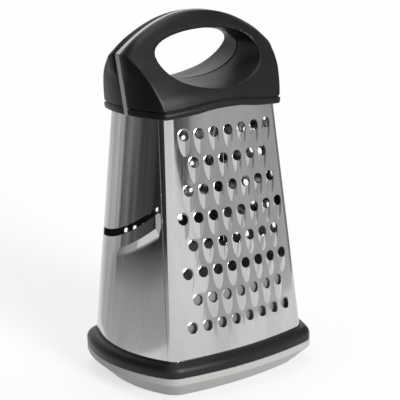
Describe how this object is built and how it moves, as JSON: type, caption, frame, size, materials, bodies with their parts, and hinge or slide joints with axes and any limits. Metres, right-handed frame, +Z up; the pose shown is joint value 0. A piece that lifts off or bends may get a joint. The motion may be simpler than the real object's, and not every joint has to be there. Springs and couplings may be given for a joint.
{
  "type": "box grater",
  "caption": "Four-sided steel box grater with a moulded loop handle and a soft rim, standing on a deep tub that catches the gratings.",
  "frame": {"origin": "centre of the tub's flat underside, on the surface it stands on", "axes": "+Z up towards the handle's crest; -Y is the coarse face, -X the slicing face, so X runs along the wide faces"},
  "size_m": [0.1472, 0.119, 0.2467],
  "materials": {
    "steel": "bright rolled stainless sheet with a faint vertical grain",
    "soft_black": "satin soft-touch black",
    "hard_black": "matte black moulding",
    "trim_grey": "smooth silver grey",
    "tub_plastic": "satin warm grey moulding",
    "screw_steel": "bright zinc"
  },
  "bodies": {
    "tub": {"container": "tub_plastic"},
    "grater": {"base_ring": "soft_black", "front_panel": "steel", "back_panel": "steel", "left_panel": "steel", "right_panel": "steel", "handle_base_plate": "hard_black", "handle_screws": "screw_steel", "handle_front_shell": "soft_black", "handle_rear_shell": "soft_black", "left_trim_strip": "trim_grey", "top_trim_strip": "trim_grey", "right_trim_strip": "trim_grey"}
  },
  "joints": [
    {"name": "grater_lift", "type": "slide", "parent": "tub", "child": "grater", "axis": [0, 0, 1], "range_m": [0, 0.1]}
  ]
}
